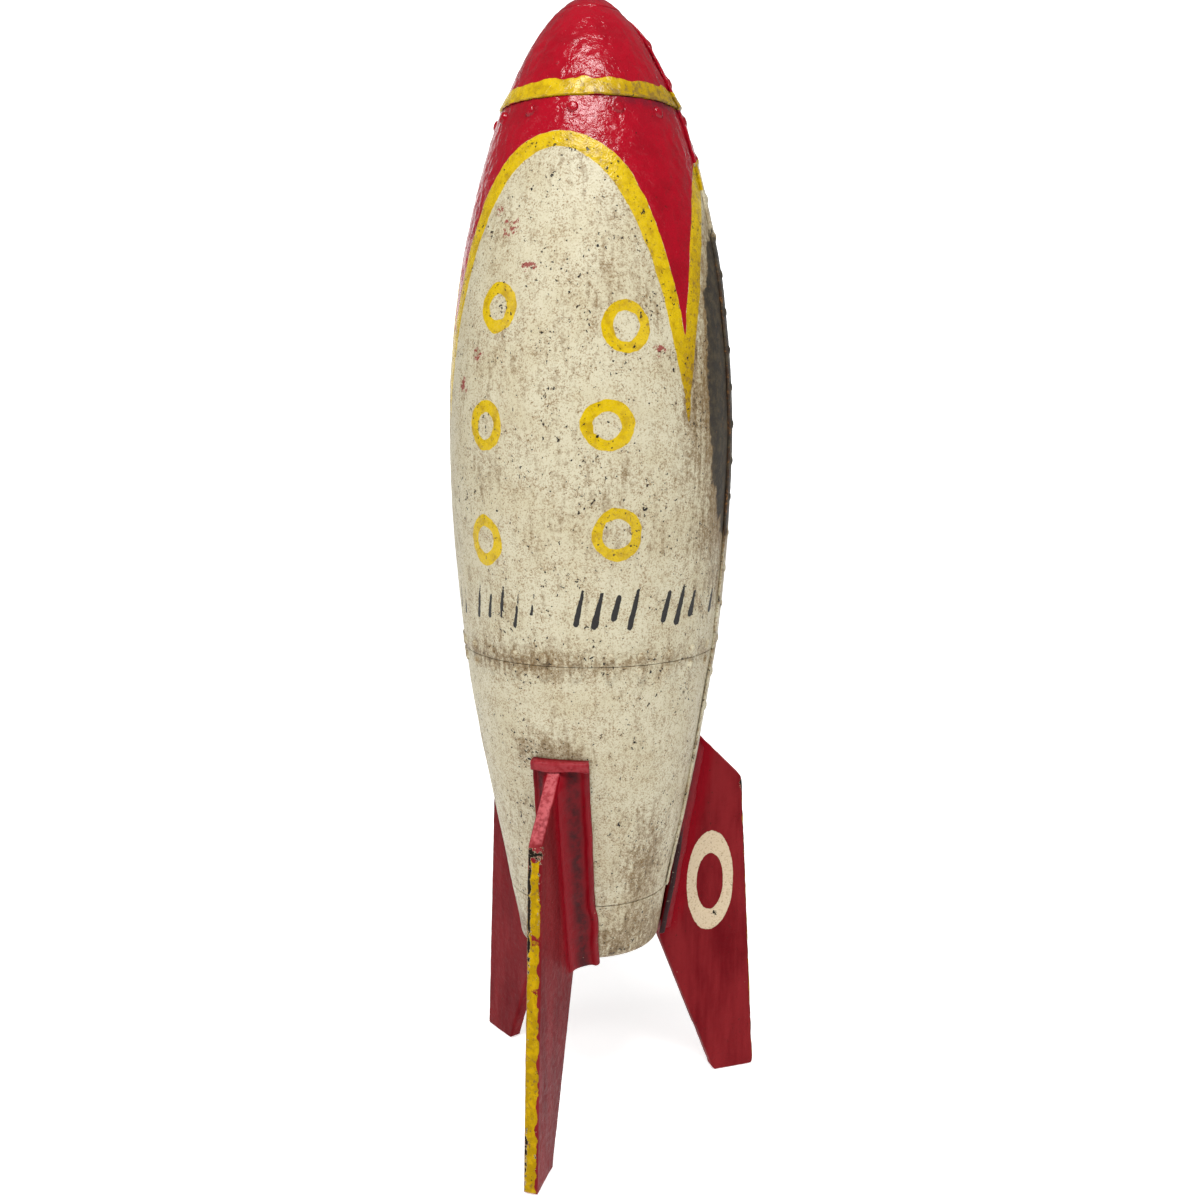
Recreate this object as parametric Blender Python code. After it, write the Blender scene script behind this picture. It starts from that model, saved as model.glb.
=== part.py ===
"""Tin space rocket: a riveted sheet-metal hull that stands on three plate fins.

The hull is a stack of thin skins: a nose cap, a barrel and a tail, each rolled
as a front and a rear half, closed by a nose tip above and a dished pan below.
The halves lap along two vertical seams, and inner hoops carry the round seams.
Each fin is a flat plate that sits in a shoe hugging the tail.

Azimuth is measured round the hull from the front fin, which points along -Y,
towards +X.  All sizes are in metres.
"""

import math

import bmesh
import bpy
from mathutils import Matrix, Vector

MM = 0.001

# Hull outline
OVERALL_HEIGHT = 597.0 * MM
HULL_BOTTOM = 98.0 * MM
WIDEST_RADIUS = 74.2 * MM
WIDEST_HEIGHT = 378.0 * MM
NOSE_POWER = 1.85
NOSE_BLUNTNESS = 0.585
BELLY_CURVE = 0.55
TAIL_TAPER = 0.187

# Sheet metal
SHEET = 1.2 * MM
HOOP = 1.6 * MM
GAP = 0.3 * MM
COLUMN = 7.5
SEAM_AZIMUTH = 90.0
LAP = COLUMN
LAP_RISE = SHEET + GAP

# Heights of the round seams
TIP_SEAM = 588.0 * MM
CAP_SEAM = 540.0 * MM
MID_SEAM = 266.0 * MM
PAN_SEAM = 131.0 * MM
CAP_PROUD = 0.8 * MM
PAN_CORNER = 5.5 * MM

# Rivets
RIVET_SIDES = 6
SHANK_RADIUS = 1.3 * MM
HOLE_RADIUS = SHANK_RADIUS + GAP
HEAD_RADIUS = 2.7 * MM
HEAD_HEIGHT = 1.6 * MM
NOSE_RIVET_DROP = 5.6 * MM
MID_RIVET_OFFSET = 4.2 * MM

# Fins and their shoes
FIN_AZIMUTHS = {"front": 0.0, "right": 126.0, "left": -126.0}
FIN_THICK = 7.6 * MM
FIN_REACH = 103.6 * MM
FIN_SHOULDER_REACH = 92.2 * MM
FOOT_WIDTH = 26.3 * MM
FIN_TOP = 211.2 * MM
FIN_INNER_CORNER = 93.5 * MM
FIN_STANDOFF = 3.3 * MM
SHOE_BOTTOM = 97.0 * MM
SHOE_FLOOR = 3.0 * MM
SHOE_CREST = 11.0 * MM
SHOE_EDGE = 2.2 * MM
SHOE_WIDE_SIDE = 16.7 * MM
SHOE_NARROW_SIDE = 12.6 * MM
SHOE_STEPS = 6
LIP_HEIGHT = 5.0 * MM
LIP_REACH = 5.2 * MM

# The hull axis stands off the middle of the footprint, which is what is centred
# on the origin: the front fin reaches further forward than the hull reaches back.
HULL_AXIS = Vector((0.0, (FIN_REACH - WIDEST_RADIUS) / 2, 0.0))

CRIMSON = (0.42, 0.012, 0.03)
CREAM = (0.60, 0.53, 0.38)
BARE_STEEL = (0.32, 0.31, 0.30)


def clear_scene():
    """Remove every object the file opened with."""
    for item in list(bpy.data.objects):
        bpy.data.objects.remove(item, do_unlink=True)


def hull_radius(z):
    """Outer radius of the plain hull at a height: blunt ogive, belly arc, cone."""
    if z >= WIDEST_HEIGHT:
        rise = min((z - WIDEST_HEIGHT) / (OVERALL_HEIGHT - WIDEST_HEIGHT), 1.0)
        return WIDEST_RADIUS * (1.0 - rise**NOSE_POWER) ** NOSE_BLUNTNESS
    drop = WIDEST_HEIGHT - z
    arc = min(drop, TAIL_TAPER / (2 * BELLY_CURVE))
    return WIDEST_RADIUS - BELLY_CURVE * arc**2 - TAIL_TAPER * (drop - arc)


def hull_point(azimuth, z, depth=0.0):
    """Point at a depth outside (+) or inside (-) the hull surface, and its normal."""
    step = 0.05 * MM
    slope = (hull_radius(z + step) - hull_radius(z - step)) / (2 * step)
    length = math.hypot(1.0, slope)
    angle = math.radians(azimuth)
    outward = Vector((math.sin(angle), -math.cos(angle), 0.0))
    normal = (outward - Vector((0.0, 0.0, slope))) / length
    return outward * hull_radius(z) + Vector((0.0, 0.0, z)) + normal * depth, normal


def spaced(start, stop, count):
    """Evenly spaced values from start to stop, both included."""
    return [start + (stop - start) * i / count for i in range(count + 1)]


def paint(name, colour, roughness, metallic):
    """A plain painted or bare metal finish."""
    material = bpy.data.materials.new(name)
    material.use_nodes = True
    shader = material.node_tree.nodes["Principled BSDF"]
    shader.inputs["Base Color"].default_value = (*colour, 1.0)
    shader.inputs["Roughness"].default_value = roughness
    shader.inputs["Metallic"].default_value = metallic
    material.diffuse_color = (*colour, 1.0)
    return material


def red_paint(name):
    """Gloss red enamel over steel."""
    return paint(name + "_red_enamel", CRIMSON, 0.32, 0.0)


def cream_paint(name):
    """Aged cream enamel over steel."""
    return paint(name + "_cream_enamel", CREAM, 0.5, 0.0)


def bare_steel(name):
    """Unpainted steel inside the hull."""
    return paint(name + "_bare_steel", BARE_STEEL, 0.45, 1.0)


def add_object(name, bm, material=None):
    """Turn a bmesh into a linked object on the hull axis."""
    bmesh.ops.recalc_face_normals(bm, faces=bm.faces)
    mesh = bpy.data.meshes.new(name)
    bm.to_mesh(mesh)
    bm.free()
    item = bpy.data.objects.new(name, mesh)
    item.location = HULL_AXIS
    bpy.context.collection.objects.link(item)
    if material:
        mesh.materials.append(material)
    return item


def add_cutter(name, bm):
    """A helper solid that other pieces are cut or joined with."""
    item = add_object(name, bm)
    item.hide_render = True
    item.display_type = "WIRE"
    return item


def boolean(item, other, operation):
    """Add an exact boolean to a piece."""
    modifier = item.modifiers.new(f"{operation}_{other.name}".lower(), "BOOLEAN")
    modifier.operation = operation
    modifier.solver = "EXACT"
    modifier.object = other


def loft(bm, rings, closed_ends=True):
    """Skin a list of vertex rings of equal length, each ring a closed loop."""
    loops = [[bm.verts.new(point) for point in ring] for ring in rings]
    count = len(loops[0])
    for lower, upper in zip(loops, loops[1:]):
        for i in range(count):
            j = (i + 1) % count
            bm.faces.new((lower[i], lower[j], upper[j], upper[i]))
    if closed_ends:
        bm.faces.new(reversed(loops[0]))
        bm.faces.new(loops[-1])
    else:
        for i in range(count):
            j = (i + 1) % count
            bm.faces.new((loops[-1][i], loops[-1][j], loops[0][j], loops[0][i]))


def turned(bm, profile, frame, sides):
    """Spin (radius, height) pairs into a solid with flat ends in a local frame."""
    rings = []
    for radius, height in profile:
        turn = [math.tau * (i + 0.5) / sides for i in range(sides)]
        ring = [Vector((radius * math.cos(a), radius * math.sin(a), height)) for a in turn]
        rings.append([frame @ point for point in ring])
    loft(bm, rings)


def skin(heights, azimuths, outer_depth, thickness):
    """Part of the hull wall between azimuths: a closed sheet of even thickness."""
    bm = bmesh.new()
    sections = []
    for azimuth in azimuths:
        outer = outer_depth(azimuth)
        ring = [hull_point(azimuth, z, outer)[0] for z in heights]
        ring += [hull_point(azimuth, z, outer - thickness)[0] for z in reversed(heights)]
        sections.append(ring)
    loft(bm, sections)
    return bm


def hoop(heights, depth, thickness):
    """A full ring that follows the inside of the hull wall."""
    bm = bmesh.new()
    sections = []
    for azimuth in spaced(0.0, 360.0 - COLUMN, round(360.0 / COLUMN) - 1):
        ring = [hull_point(azimuth, z, depth)[0] for z in heights]
        ring += [hull_point(azimuth, z, depth - thickness)[0] for z in reversed(heights)]
        sections.append(ring)
    loft(bm, sections, closed_ends=False)
    return bm


def front_skin(heights, proud=0.0):
    """Front half sheet, which runs under the rear half at both vertical seams."""
    edge = SEAM_AZIMUTH + LAP
    azimuths = spaced(-edge, edge, round(2 * edge / COLUMN))
    return skin(heights, azimuths, lambda azimuth: proud, SHEET)


def rear_skin(heights, proud=0.0):
    """Rear half sheet, joggled outwards where it laps over the front half."""
    edge = SEAM_AZIMUTH
    azimuths = spaced(edge, 360.0 - edge, round((360.0 - 2 * edge) / COLUMN))

    def depth(azimuth):
        from_edge = min(azimuth - edge, 360.0 - edge - azimuth)
        rise = min(max(2.0 - from_edge / LAP, 0.0), 1.0)
        return proud + LAP_RISE * rise

    return skin(heights, azimuths, depth, SHEET)


def lathe(profile):
    """Spin a closed (radius, height) outline that starts and ends on the axis."""
    bm = bmesh.new()
    sides = round(360.0 / COLUMN)
    first = bm.verts.new((0.0, 0.0, profile[0][1]))
    last = bm.verts.new((0.0, 0.0, profile[-1][1]))
    rings = []
    for radius, height in profile[1:-1]:
        turn = [math.radians(COLUMN * i) for i in range(sides)]
        rings.append([bm.verts.new((radius * math.cos(a), radius * math.sin(a), height)) for a in turn])
    for i in range(sides):
        j = (i + 1) % sides
        bm.faces.new((first, rings[0][i], rings[0][j]))
        bm.faces.new((last, rings[-1][j], rings[-1][i]))
        for lower, upper in zip(rings, rings[1:]):
            bm.faces.new((lower[i], upper[i], upper[j], lower[j]))
    return bm


def rivet_frame(azimuth, z):
    """Frame on the hull surface with its third axis along the outward normal."""
    origin, normal = hull_point(azimuth, z)
    across = Vector((0.0, 0.0, 1.0)).cross(normal).normalized()
    along = normal.cross(across)
    frame = Matrix((across, along, normal)).transposed().to_4x4()
    frame.translation = origin
    return frame


def rivet_head():
    """Domed head outline above the sheet, as (radius, height) pairs."""
    return [
        (HEAD_RADIUS, GAP),
        (HEAD_RADIUS * 0.6, GAP + HEAD_HEIGHT),
    ]


def rivet_holes(name, places):
    """Cutter with one clearance hole for each rivet place."""
    bm = bmesh.new()
    reach = SHEET + GAP + HOOP + 2 * GAP
    for azimuth, z in places:
        turned(bm, [(HOLE_RADIUS, -reach), (HOLE_RADIUS, reach)], rivet_frame(azimuth, z), RIVET_SIDES)
    return add_cutter(name, bm)


def nose_rivet_places():
    """Six rivets across the front collar and six across the rear."""
    front = [61.4 - 27.2 * i for i in range(6)]
    rear = [112.0 + 27.2 * i for i in range(6)]
    return [(azimuth, CAP_SEAM - NOSE_RIVET_DROP) for azimuth in front + rear]


def mid_rivet_places():
    """Two rows of rivets, above and below the middle seam, clear of the side laps."""
    azimuths = [82.5 - 14.2 * i for i in range(12)] + [110.0 + 14.0 * i for i in range(11)]
    rows = (MID_SEAM - MID_RIVET_OFFSET, MID_SEAM + MID_RIVET_OFFSET)
    return [(azimuth, z) for z in rows for azimuth in azimuths]


def build_nose():
    """Nose tip and the two halves of the cap, which stands proud of the barrel."""
    top = OVERALL_HEIGHT - TIP_SEAM
    dome = [TIP_SEAM + GAP + (top - GAP) * share for share in (0.94, 0.74, 0.42, 0.0)]
    spigot = hull_radius(TIP_SEAM) - 2 * SHEET
    profile = [(0.0, OVERALL_HEIGHT)]
    profile += [(hull_radius(z), z) for z in dome]
    profile += [(spigot, TIP_SEAM + GAP), (spigot, TIP_SEAM - 6 * MM), (0.0, TIP_SEAM - 6 * MM)]
    add_object("nose_tip", lathe(profile), red_paint("nose_tip"))

    heights = spaced(CAP_SEAM + GAP / 2, TIP_SEAM - GAP / 2, 5)
    add_object("nose_cap_front", front_skin(heights, CAP_PROUD), red_paint("nose_cap_front"))
    add_object("nose_cap_rear", rear_skin(heights, CAP_PROUD), red_paint("nose_cap_rear"))


def build_barrel():
    """Front and rear sheets of the barrel, holed for both rows of rivets."""
    heights = spaced(MID_SEAM + GAP / 2, CAP_SEAM - GAP / 2, 12)
    return [
        add_object("barrel_front", front_skin(heights), cream_paint("barrel_front")),
        add_object("barrel_rear", rear_skin(heights), cream_paint("barrel_rear")),
    ]


def build_tail():
    """Front and rear sheets of the tail cone."""
    heights = spaced(PAN_SEAM + GAP / 2, MID_SEAM - GAP / 2, 4)
    return [
        add_object("tail_front", front_skin(heights), cream_paint("tail_front")),
        add_object("tail_rear", rear_skin(heights), cream_paint("tail_rear")),
    ]


def build_tail_pan():
    """Dished pan that closes the tail: a skirt, a rolled corner and a flat floor."""
    rim = PAN_SEAM - GAP / 2
    shoulder = HULL_BOTTOM + PAN_CORNER
    outer_radius = hull_radius(shoulder)
    turn = [math.radians(a) for a in spaced(0.0, 90.0, 3)]
    outer = [
        (outer_radius - PAN_CORNER * (1 - math.cos(a)), shoulder - PAN_CORNER * math.sin(a))
        for a in turn
    ]
    inner_corner = PAN_CORNER - SHEET
    inner = [
        (outer_radius - SHEET - inner_corner * (1 - math.cos(a)), shoulder - inner_corner * math.sin(a))
        for a in reversed(turn)
    ]
    profile = [(0.0, HULL_BOTTOM)]
    profile += list(reversed(outer))
    profile += [(hull_radius(rim), rim), (hull_radius(rim) - SHEET, rim)]
    profile += list(reversed(inner))
    profile += [(0.0, HULL_BOTTOM + SHEET)]
    add_object("tail_pan", lathe(profile), cream_paint("tail_pan"))


def build_hoops(barrel, tail):
    """Inner hoops behind the round seams, with the rivets that hold the sheets."""
    inside = -SHEET - GAP
    collar = add_object(
        "nose_collar",
        hoop([CAP_SEAM - 12 * MM, CAP_SEAM, CAP_SEAM + 11 * MM], inside, HOOP),
        bare_steel("nose_collar"),
    )
    nose_holes = rivet_holes("nose_rivet_holes", nose_rivet_places())
    for item in [collar] + barrel:
        boolean(item, nose_holes, "DIFFERENCE")
    for number, (azimuth, z) in enumerate(nose_rivet_places(), start=1):
        bm = bmesh.new()
        back = inside - HOOP - GAP
        profile = [(2.1 * MM, back - 0.9 * MM), (2.1 * MM, back), (SHANK_RADIUS, back)]
        profile += [(SHANK_RADIUS, GAP)] + rivet_head()
        turned(bm, profile, rivet_frame(azimuth, z), RIVET_SIDES)
        name = f"nose_rivet_{number:02d}"
        add_object(name, bm, red_paint(name))

    middle = add_object(
        "mid_hoop",
        hoop([MID_SEAM - 11 * MM, MID_SEAM + 11 * MM], inside, HOOP),
        cream_paint("mid_hoop"),
    )
    mid_holes = rivet_holes("mid_rivet_holes", mid_rivet_places())
    for item in barrel + tail:
        boolean(item, mid_holes, "DIFFERENCE")
    bm = bmesh.new()
    for azimuth, z in mid_rivet_places():
        profile = [(SHANK_RADIUS, inside - HOOP / 2), (SHANK_RADIUS, GAP)] + rivet_head()
        turned(bm, profile, rivet_frame(azimuth, z), RIVET_SIDES)
    boolean(middle, add_cutter("mid_rivets", bm), "UNION")

    lower = [PAN_SEAM - 9 * MM, PAN_SEAM + 9 * MM]
    add_object("tail_hoop", hoop(lower, inside, HOOP), bare_steel("tail_hoop"))


def rounded(outline, radii, steps=4):
    """Replace each corner of a flat outline by an arc; a radius of 0 keeps it."""
    points = []
    for i, (corner, radius) in enumerate(zip(outline, radii)):
        if radius == 0.0:
            points.append(corner)
            continue
        before = (outline[i - 1] - corner).normalized()
        after = (outline[(i + 1) % len(outline)] - corner).normalized()
        half = before.angle(after) / 2
        centre = corner + (before + after).normalized() * radius / math.sin(half)
        start = (corner + before * radius / math.tan(half) - centre).normalized()
        end = (corner + after * radius / math.tan(half) - centre).normalized()
        for share in spaced(0.0, 1.0, steps):
            points.append(centre + start.slerp(end, share) * radius)
    return points


def fin_bmesh():
    """Flat fin plate that points along -Y, with its foot on the ground."""
    standoff = FIN_STANDOFF
    top = Vector((hull_radius(FIN_TOP) + standoff, FIN_TOP, 0.0))
    shoulder_drop = FIN_SHOULDER_REACH - top.x
    outline = [
        top,
        Vector((hull_radius(FIN_INNER_CORNER) + standoff, FIN_INNER_CORNER, 0.0)),
        Vector((FIN_REACH - FOOT_WIDTH, 0.0, 0.0)),
        Vector((FIN_REACH, 0.0, 0.0)),
        Vector((FIN_SHOULDER_REACH, FIN_TOP - shoulder_drop, 0.0)),
    ]
    points = rounded(outline, [0.0, 3 * MM, 2 * MM, 3 * MM, 3 * MM])
    bm = bmesh.new()
    sides = (-FIN_THICK / 2, FIN_THICK / 2)
    loft(bm, [[Vector((x, -p.x, p.y)) for p in points] for x in sides])
    return bm


def shoe_ring(z, section):
    """Place (sideways, height off the hull) pairs on the tail at one height."""
    seat = hull_radius(z) + GAP
    ring = []
    for sideways, height in section:
        ring.append(Vector((sideways, -math.sqrt(seat**2 - sideways**2) - height + GAP, z)))
    return ring


def shoe_underside():
    """Inner face of a shoe from the narrow side to the wide side."""
    return [(x, GAP) for x in spaced(-SHOE_NARROW_SIDE, SHOE_WIDE_SIDE, SHOE_STEPS)]


def shoe_section(crest):
    """Cross-section of a shoe: two concave flanks with the fin slot between them."""
    wall = FIN_THICK / 2 + GAP
    right = [
        (SHOE_WIDE_SIDE, SHOE_EDGE),
        (wall + 0.42 * (SHOE_WIDE_SIDE - wall), SHOE_EDGE + 0.12 * (crest - SHOE_EDGE)),
        (wall + 0.9 * MM, crest),
        (wall, crest),
        (wall, SHOE_FLOOR),
    ]
    left = [
        (-wall, SHOE_FLOOR),
        (-wall, crest),
        (-wall - 0.9 * MM, crest),
        (-wall - 0.42 * (SHOE_NARROW_SIDE - wall), SHOE_EDGE + 0.12 * (crest - SHOE_EDGE)),
        (-SHOE_NARROW_SIDE, SHOE_EDGE),
    ]
    return shoe_underside() + right + left


def shoe_bmesh():
    """Shoe body: it hugs the cone, and its flanks drop away under the fin's top edge."""
    low_crest = SHOE_FLOOR + GAP
    shoulder = FIN_TOP - (SHOE_CREST - low_crest) / (1.0 + TAIL_TAPER)
    bm = bmesh.new()
    stations = [(z, SHOE_CREST) for z in spaced(SHOE_BOTTOM, shoulder, 4)]
    stations += [(FIN_TOP, low_crest), (FIN_TOP + 2 * MM, low_crest)]
    loft(bm, [shoe_ring(z, shoe_section(crest)) for z, crest in stations])
    return bm


def lip_bmesh():
    """Shelf across the top of a shoe, just above the fin."""
    outer = [(x, LIP_REACH) for x in reversed(spaced(-SHOE_NARROW_SIDE, SHOE_WIDE_SIDE, SHOE_STEPS))]
    bm = bmesh.new()
    heights = (FIN_TOP + GAP, FIN_TOP + GAP + LIP_HEIGHT)
    loft(bm, [shoe_ring(z, shoe_underside() + outer) for z in heights])
    return bm


def build_fins():
    """Three identical fins, each in its own shoe."""
    for side, azimuth in FIN_AZIMUTHS.items():
        turn = math.radians(azimuth)
        name = "fin_" + side
        fin = add_object(name, fin_bmesh(), red_paint(name))
        fin.rotation_euler.z = turn
        name = "fin_shoe_" + side
        shoe = add_object(name, shoe_bmesh(), red_paint(name))
        shoe.rotation_euler.z = turn
        lip = add_cutter("fin_shoe_lip_" + side, lip_bmesh())
        lip.rotation_euler.z = turn
        boolean(shoe, lip, "UNION")


def main():
    """Build the whole rocket."""
    clear_scene()
    build_nose()
    barrel = build_barrel()
    tail = build_tail()
    build_tail_pan()
    build_hoops(barrel, tail)
    build_fins()
    bpy.context.view_layer.update()


main()
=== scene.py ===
"""Tin space rocket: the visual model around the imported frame.

Every visible CAD node is replaced by a finer mesh of the same place and size,
with hammered sheet, wrinkled enamel, lapped seams and soft rivet heads as real
relief.  Hand-painted decoration is carried as distance fields on the vertices,
in millimetres, and the materials turn those into crisp painted edges.

Azimuth is measured round the hull from the front fin, which points along -Y,
towards +X.  Meshes are worked out in millimetres round the hull's own axis.
"""

import math
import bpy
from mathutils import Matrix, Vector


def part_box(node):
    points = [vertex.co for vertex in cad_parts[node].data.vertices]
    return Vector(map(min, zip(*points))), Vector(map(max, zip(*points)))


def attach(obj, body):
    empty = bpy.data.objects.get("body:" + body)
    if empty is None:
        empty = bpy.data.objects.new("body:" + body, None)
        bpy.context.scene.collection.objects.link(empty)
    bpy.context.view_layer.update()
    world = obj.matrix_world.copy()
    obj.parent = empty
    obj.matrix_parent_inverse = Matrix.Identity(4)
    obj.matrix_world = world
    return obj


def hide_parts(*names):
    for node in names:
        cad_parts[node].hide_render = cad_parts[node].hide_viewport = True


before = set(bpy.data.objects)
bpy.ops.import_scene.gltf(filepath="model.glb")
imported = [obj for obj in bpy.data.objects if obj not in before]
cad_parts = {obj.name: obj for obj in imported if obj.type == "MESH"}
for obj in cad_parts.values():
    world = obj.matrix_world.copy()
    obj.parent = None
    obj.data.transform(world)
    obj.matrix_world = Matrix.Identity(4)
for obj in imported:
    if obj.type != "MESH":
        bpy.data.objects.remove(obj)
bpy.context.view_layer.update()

import bpy
import numpy as np
from mathutils import Vector

MM = 0.001


# --- Places taken from the frame, in millimetres ---


def box_mm(node):
    """Lowest and highest corner of a CAD node, in millimetres."""
    low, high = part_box(node)
    return np.array(low) / MM, np.array(high) / MM


BARREL_LOW, BARREL_HIGH = box_mm("barrel_front")
PAN_LOW, PAN_HIGH = box_mm("tail_pan")
FIN_LOW, FIN_HIGH = box_mm("fin_front")
SHOE_LOW, SHOE_HIGH = box_mm("fin_shoe_front")

AXIS = np.array([(PAN_LOW[0] + PAN_HIGH[0]) / 2, (PAN_LOW[1] + PAN_HIGH[1]) / 2, 0.0])
TOP = box_mm("nose_tip")[1][2]
HULL_BOTTOM = PAN_LOW[2]
WIDEST_RADIUS = (BARREL_HIGH[0] - BARREL_LOW[0]) / 2
WIDEST_HEIGHT = 378.0
NOSE_POWER = 1.85
NOSE_BLUNTNESS = 0.585
BELLY_CURVE = 0.00055
TAIL_TAPER = 0.187

TIP_SEAM = 588.0
CAP_SEAM = 540.0
MID_SEAM = 266.0
PAN_SEAM = 131.0
PAN_CORNER = 5.5
CAP_PROUD = 1.1
SIDE_RIM = 0.5
SHEET = 1.2
LAP_RISE = 1.5
LAP_DEGREES = 7.5
LAP_PRESS = 0.28
SHEET_COLUMNS = 186
HOOP_COLUMNS = 120
SEAM_RIVETS = 19
SEAM_RIVET_TOP = 572.0
SEAM_RIVET_PITCH = 18.8
SEAM_RIVET_INSET = 4.6
SEAM_RIVET_HEIGHT = 0.85
SEAM_AZIMUTH = 90.0
FIN_AZIMUTHS = {"front": 0.0, "right": 126.0, "left": -126.0}
FIN_THICK = FIN_HIGH[0] - FIN_LOW[0]
FIN_REACH = AXIS[1] - FIN_LOW[1]
FIN_TOP = FIN_HIGH[2]


# --- Smooth noise, the same on every run ---


def lattice(i, j, k, seed):
    """A repeatable value from -1 to 1 for each integer lattice point."""
    mixed = (i * 73856093) ^ (j * 19349663) ^ (k * 83492791) ^ (seed * 2654435761)
    mixed = (mixed ^ (mixed >> 13)) * 1274126177 & 0xFFFFFFFF
    mixed = (mixed ^ (mixed >> 15)) * 2246822519 & 0xFFFFFFFF
    return ((mixed ^ (mixed >> 16)) & 0xFFFF) / 32767.5 - 1.0


def noise(points, size, seed):
    """Smooth noise from about -1 to 1, with features of a size in millimetres."""
    scaled = points / size
    cell = np.floor(scaled).astype(np.int64)
    part = scaled - cell
    blend = part**3 * (part * (part * 6 - 15) + 10)
    total = 0.0
    for corner in range(8):
        step = (corner & 1, corner >> 1 & 1, corner >> 2 & 1)
        weight = 1.0
        for axis in range(3):
            along = blend[..., axis]
            weight = weight * (along if step[axis] else 1.0 - along)
        at = [cell[..., axis] + step[axis] for axis in range(3)]
        total = total + weight * lattice(*at, seed)
    return total


def smooth(value, low, high):
    """0 below low, 1 above high and a smooth step between."""
    share = np.clip((value - low) / (high - low), 0.0, 1.0)
    return share * share * (3.0 - 2.0 * share)


# --- Hull surface ---


def hull_radius(z):
    """Outer radius of the plain hull, as the CAD model has it."""
    z = np.asarray(z, dtype=float)
    rise = np.clip((z - WIDEST_HEIGHT) / (TOP - WIDEST_HEIGHT), 0.0, 1.0)
    nose = WIDEST_RADIUS * (1.0 - rise**NOSE_POWER) ** NOSE_BLUNTNESS
    drop = np.clip(WIDEST_HEIGHT - z, 0.0, None)
    arc = np.minimum(drop, TAIL_TAPER / (2 * BELLY_CURVE))
    tail = WIDEST_RADIUS - BELLY_CURVE * arc**2 - TAIL_TAPER * (drop - arc)
    return np.where(z >= WIDEST_HEIGHT, nose, tail)


def hull_points(azimuth, z, depth):
    """Points at a depth outside (+) or inside (-) the plain hull, round its axis."""
    step = 0.05
    slope = (hull_radius(z + step) - hull_radius(z - step)) / (2 * step)
    length = np.hypot(1.0, slope)
    angle = np.radians(azimuth)
    radius = hull_radius(z) + depth / length
    return np.stack(
        [radius * np.sin(angle), -radius * np.cos(angle), z - depth * slope / length],
        axis=-1,
    )


def azimuth_of(points):
    """Azimuth in degrees from -180 to 180."""
    return np.degrees(np.arctan2(points[..., 0], -points[..., 1]))


def turn(points, degrees):
    """Rotate points round the hull axis."""
    angle = math.radians(degrees)
    c, s = math.cos(angle), math.sin(angle)
    x, y, z = points[..., 0], points[..., 1], points[..., 2]
    return np.stack([c * x - s * y, s * x + c * y, z], axis=-1)


# --- Painted decoration: signed distances in millimetres, positive inside ---

PANEL_HALF = 57.5
SIDE_PANEL_CENTRE = (PANEL_HALF + 180.0) / 2
SIDE_PANEL_HALF = (180.0 - PANEL_HALF) / 2
RED_ARCH = (523.3, 422.0, 0.40, 6.0, 1.012)
CREAM_ARCH = (515.6, 385.0, 0.47, 4.8, 1.0)
BAND = (540.2, 548.8)
RING_STROKE = 5.2
PORTHOLES = (
    (-22.2, 440.8, 10.8, 12.0),
    (31.2, 431.4, 11.8, 12.5),
    (-26.6, 384.4, 10.5, 12.2),
    (23.6, 385.0, 13.0, 12.0),
    (-28.4, 327.8, 10.8, 12.4),
    (27.6, 332.8, 12.4, 13.0),
)
SHOE_SIDES = (12.6, 16.7)
TICK_GROUPS = ((-57.0, 2, 1.5), (-36.0, 5, 1.7), (13.0, 4, 2.6), (50.0, 3, 2.8), (80.0, 1, 2.4))
TICK_PITCH = 7.4
TICK_HEIGHT = 296.0
TICK_SLANT = 0.22
SIDE_RING_SHIFT = 8.0
SIDE_RING_SPREAD = 0.55
BARE_PLACE = (91.0, 404.0)
BARE_SIZE = (26.5, 75.0)

# Dirt and rust spots: azimuth, height, width, tallness and strength.
GRIME_SPOTS = [
    (57.0, 160.0, 9.0, 15.0, 0.7),
    (52.0, 142.0, 12.0, 24.0, 0.6),
    (58.0, 385.0, 8.0, 32.0, 0.6),
    (24.0, HULL_BOTTOM + 5.0, 14.0, 7.0, 0.7),
] + [(centre - 4.0, SHOE_HIGH[2] + 4.0, 20.0, 10.0, 1.0) for centre in FIN_AZIMUTHS.values()]
RUST_SPOTS = [(-17.0, SHOE_HIGH[2] + 3.0, 6.0, 5.0, 0.8), (62.0, 138.0, 3.0, 8.0, 0.6)]

# Red scuffs and chipped places: azimuth, height and size.
SCUFFS = (
    (-29.0, 488.0, 5.0), (-20.0, 478.0, 8.0), (-8.0, 459.0, 7.0),
    (-33.0, 419.0, 6.0), (-42.0, 404.0, 6.0), (45.0, 421.0, 5.0),
)
CHIPS = (
    (60.0, 152.0, 6.0), (54.0, 146.0, 5.0), (63.0, 174.0, 6.0), (46.0, 103.0, 6.0),
    (19.0, 108.0, 7.0), (-27.0, 485.0, 6.0), (-31.0, 478.0, 5.0), (-16.0, 219.0, 7.0),
)


def folded(azimuth):
    """Share of the way from a panel's middle (0) to the point beside it (1), signed."""
    front = np.abs(azimuth) <= PANEL_HALF
    side = (np.abs(azimuth) - SIDE_PANEL_CENTRE) / SIDE_PANEL_HALF
    return np.where(front, azimuth / PANEL_HALF, side * np.sign(azimuth))


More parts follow.
